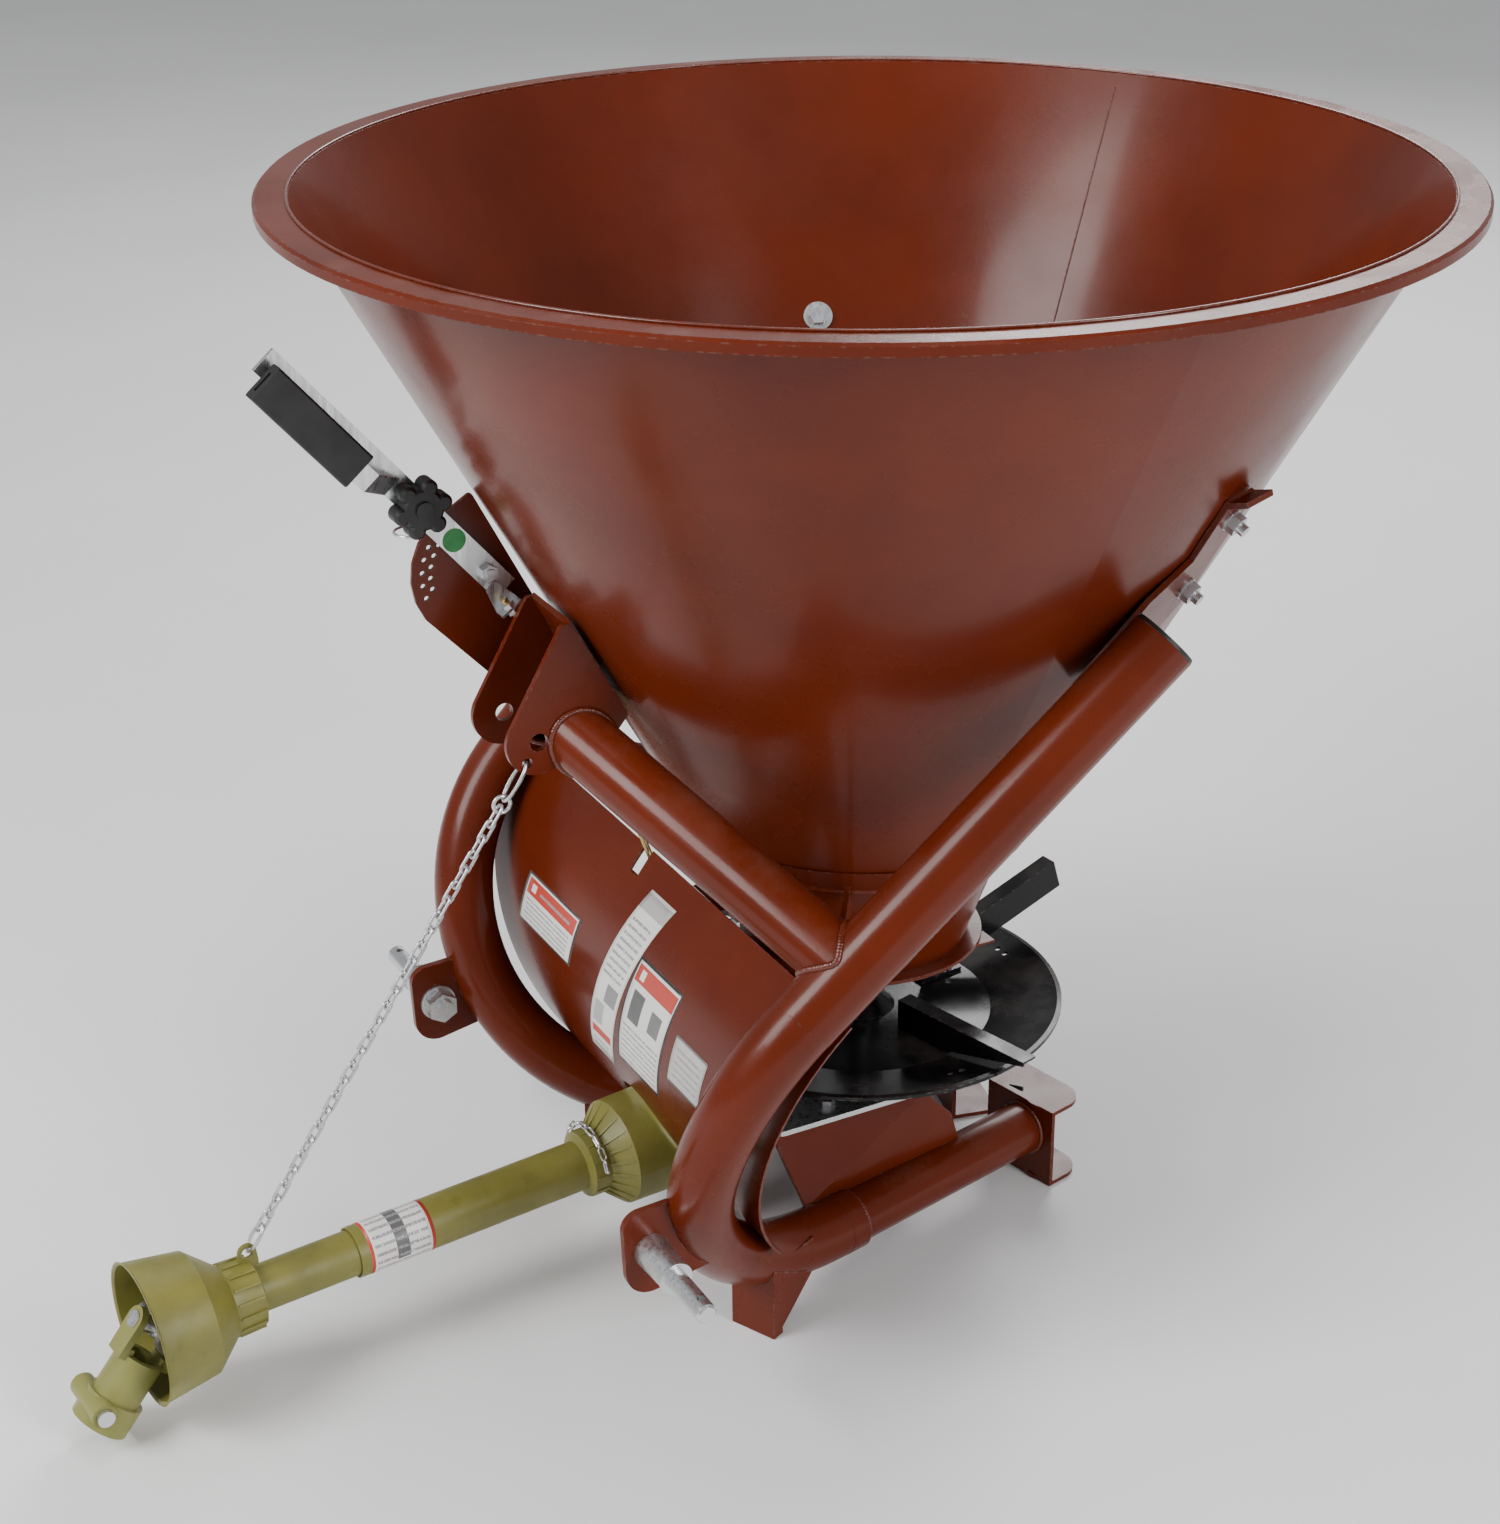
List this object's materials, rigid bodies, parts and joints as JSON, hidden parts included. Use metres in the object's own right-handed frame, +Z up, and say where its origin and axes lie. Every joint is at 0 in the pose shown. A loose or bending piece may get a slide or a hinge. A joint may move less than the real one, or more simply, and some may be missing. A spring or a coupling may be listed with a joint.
{
  "type": "three-point broadcast spreader",
  "caption": "Cone-hopper broadcast spreader on a bent-tube three-point frame, with a power take-off driveline, gearbox, spinner and rate lever.",
  "frame": {"origin": "on the ground, under the middle of the outline; the spinner axis stands 170 mm behind it", "axes": "+Z up, -Y towards the tractor, +X to the right seen from behind"},
  "size_m": [1.2078, 1.549, 1.18],
  "materials": {
    "powder_coat": "red-brown gloss powder coat",
    "zinc_plate": "bright zinc plate",
    "yellow_zinc": "yellow chromate zinc",
    "gear_housing": "dark cast housing",
    "bare_steel": "machined steel",
    "black_paint": "black gloss powder coat",
    "olive_plastic": "olive yellow moulded guard",
    "olive_steel": "olive painted forging",
    "black_plastic": "black plastic"
  },
  "bodies": {
    "frame": {"hopper_shell": "powder_coat", "outlet_funnel": "powder_coat", "hopper_floor": "powder_coat", "gate_guides": "powder_coat", "gate_guide_screws": "zinc_plate", "base_brackets": "powder_coat", "hopper_straps": "powder_coat", "strap_bolts": "zinc_plate", "strap_nuts": "zinc_plate", "strap_washers": "zinc_plate", "side_frame_left": "powder_coat", "side_frame_right": "powder_coat", "skid_tubes": "powder_coat", "leg_end_caps": "black_plastic", "front_feet": "powder_coat", "rear_feet": "powder_coat", "mast_tube_left": "powder_coat", "mast_tube_right": "powder_coat", "top_link_bracket": "powder_coat", "front_shield": "powder_coat", "hitch_lugs": "powder_coat", "lower_hitch_pins": "zinc_plate", "hitch_pin_nuts": "zinc_plate", "gearbox_cradle": "powder_coat", "gearbox_plate": "zinc_plate", "gearbox_housing": "gear_housing", "gearbox_bolts": "zinc_plate", "shaft_bearings": "bare_steel", "rate_quadrant": "powder_coat", "lever_pivot_bolt": "zinc_plate", "crank_bracket": "powder_coat"},
    "spinner": {"output_shaft": "bare_steel", "crown_gear": "bare_steel", "spinner_hub": "black_paint", "spinner_disc": "black_paint", "spinner_vanes": "black_paint", "vane_bolts": "zinc_plate", "agitator": "zinc_plate"},
    "input_drive": {"input_shaft": "bare_steel", "pinion": "bare_steel"},
    "rear_guard_half": {"rear_guard": "olive_plastic", "guard_tether": "zinc_plate"},
    "rear_shaft_half": {"rear_drive_shaft": "bare_steel", "rear_cross_kit": "zinc_plate"},
    "front_guard_half": {"front_guard": "olive_plastic"},
    "front_shaft_half": {"front_drive_shaft": "bare_steel"},
    "front_cross": {"front_cross_kit": "zinc_plate"},
    "tractor_end_yoke": {"tractor_yoke": "olive_steel"},
    "release_pin": {"yoke_release_pin": "zinc_plate"},
    "hanging_chain": {"safety_chain": "zinc_plate"},
    "lever": {"rate_lever": "zinc_plate", "lever_grip_bar": "zinc_plate", "lever_grip": "black_plastic"},
    "knob": {"clamp_knob": "black_plastic"},
    "stop_pin": {"linch_pin": "zinc_plate"},
    "rod": {"control_rod": "yellow_zinc", "rod_bracket": "zinc_plate", "rod_nuts": "zinc_plate"},
    "crank": {"gate_crank": "zinc_plate"},
    "gate": {"gate_slide": "zinc_plate"}
  },
  "joints": [
    {"name": "spinner_spin", "type": "hinge", "parent": "frame", "child": "spinner", "pos_m": [0, 0.17, 0.128], "axis": [0, 0, 1], "continuous": true},
    {"name": "input_spin", "type": "hinge", "parent": "frame", "child": "input_drive", "pos_m": [0, -0.03, 0.128], "axis": [0, -1, 0], "continuous": true},
    {"name": "telescope", "type": "slide", "parent": "rear_guard_half", "child": "front_guard_half", "axis": [0.0802, -0.9963, -0.0314], "range_m": [0, 0.06]},
    {"name": "driveline_rise", "type": "hinge", "parent": "frame", "child": "rear_guard_half", "pos_m": [0, -0.12, 0.128], "axis": [-0.9968, -0.0802, 0], "range_deg": [0, 5]},
    {"name": "chain_swing", "type": "hinge", "parent": "frame", "child": "hanging_chain", "pos_m": [0.04276, -0.24467, 0.64328], "axis": [-0.9968, -0.0802, 0], "range_deg": [0, 6.89]},
    {"name": "rear_shaft_spin", "type": "hinge", "parent": "rear_guard_half", "child": "rear_shaft_half", "pos_m": [0, -0.12, 0.128], "axis": [0.0802, -0.9963, -0.0314], "continuous": true},
    {"name": "front_shaft_spin", "type": "hinge", "parent": "front_guard_half", "child": "front_shaft_half", "pos_m": [0.04489, -0.67792, 0.11041], "axis": [0.0802, -0.9963, -0.0314], "continuous": true},
    {"name": "front_joint_bend", "type": "hinge", "parent": "front_shaft_half", "child": "front_cross", "pos_m": [0.04489, -0.67792, 0.11041], "axis": [0.9968, 0.0802, 0], "range_deg": [-96, 0]},
    {"name": "front_joint_sway", "type": "hinge", "parent": "front_cross", "child": "tractor_end_yoke", "pos_m": [0.04489, -0.67792, 0.11041], "axis": [0.0613, -0.7613, 0.6455], "range_deg": [-25, 25]},
    {"name": "release_pin_push", "type": "slide", "parent": "tractor_end_yoke", "child": "release_pin", "axis": [0.9968, 0.0802, 0], "range_m": [0, 0.0038]},
    {"name": "rate_lever_swing", "type": "hinge", "parent": "frame", "child": "lever", "pos_m": [-0.066, -0.232, 0.809], "axis": [1, 0, 0], "range_deg": [0, 45]},
    {"name": "knob_turn", "type": "hinge", "parent": "lever", "child": "knob", "pos_m": [-0.066, -0.30429, 0.89455], "axis": [1, 0, 0], "continuous": true},
    {"name": "stop_pin_pull", "type": "slide", "parent": "frame", "child": "stop_pin", "axis": [-1, 0, 0], "range_m": [0, 0.03]},
    {"name": "rod_pivot", "type": "hinge", "parent": "lever", "child": "rod", "pos_m": [-0.066, -0.22682, 0.78968], "axis": [1, 0, 0], "range_deg": [-45, 0]},
    {"name": "crank_turn", "type": "hinge", "parent": "frame", "child": "crank", "pos_m": [-0.0615, -0.0352, 0.3733], "axis": [1, 0, 0], "range_deg": [0, 45]},
    {"name": "gate_travel", "type": "slide", "parent": "frame", "child": "gate", "axis": [0, 1, 0], "range_m": [0, 0.03101]}
  ],
  "couplings": [
    {"joint": "input_spin", "follows": "spinner_spin", "ratio": 1},
    {"joint": "rear_shaft_spin", "follows": "spinner_spin", "ratio": 1},
    {"joint": "front_shaft_spin", "follows": "spinner_spin", "ratio": 1},
    {"joint": "driveline_rise", "follows": "telescope", "rad_per_m": 1.4514},
    {"joint": "chain_swing", "follows": "telescope", "rad_per_m": 2},
    {"joint": "rod_pivot", "follows": "rate_lever_swing", "ratio": -1},
    {"joint": "crank_turn", "follows": "rate_lever_swing", "ratio": 1},
    {"joint": "gate_travel", "follows": "rate_lever_swing", "m_per_rad": 0.039467}
  ]
}
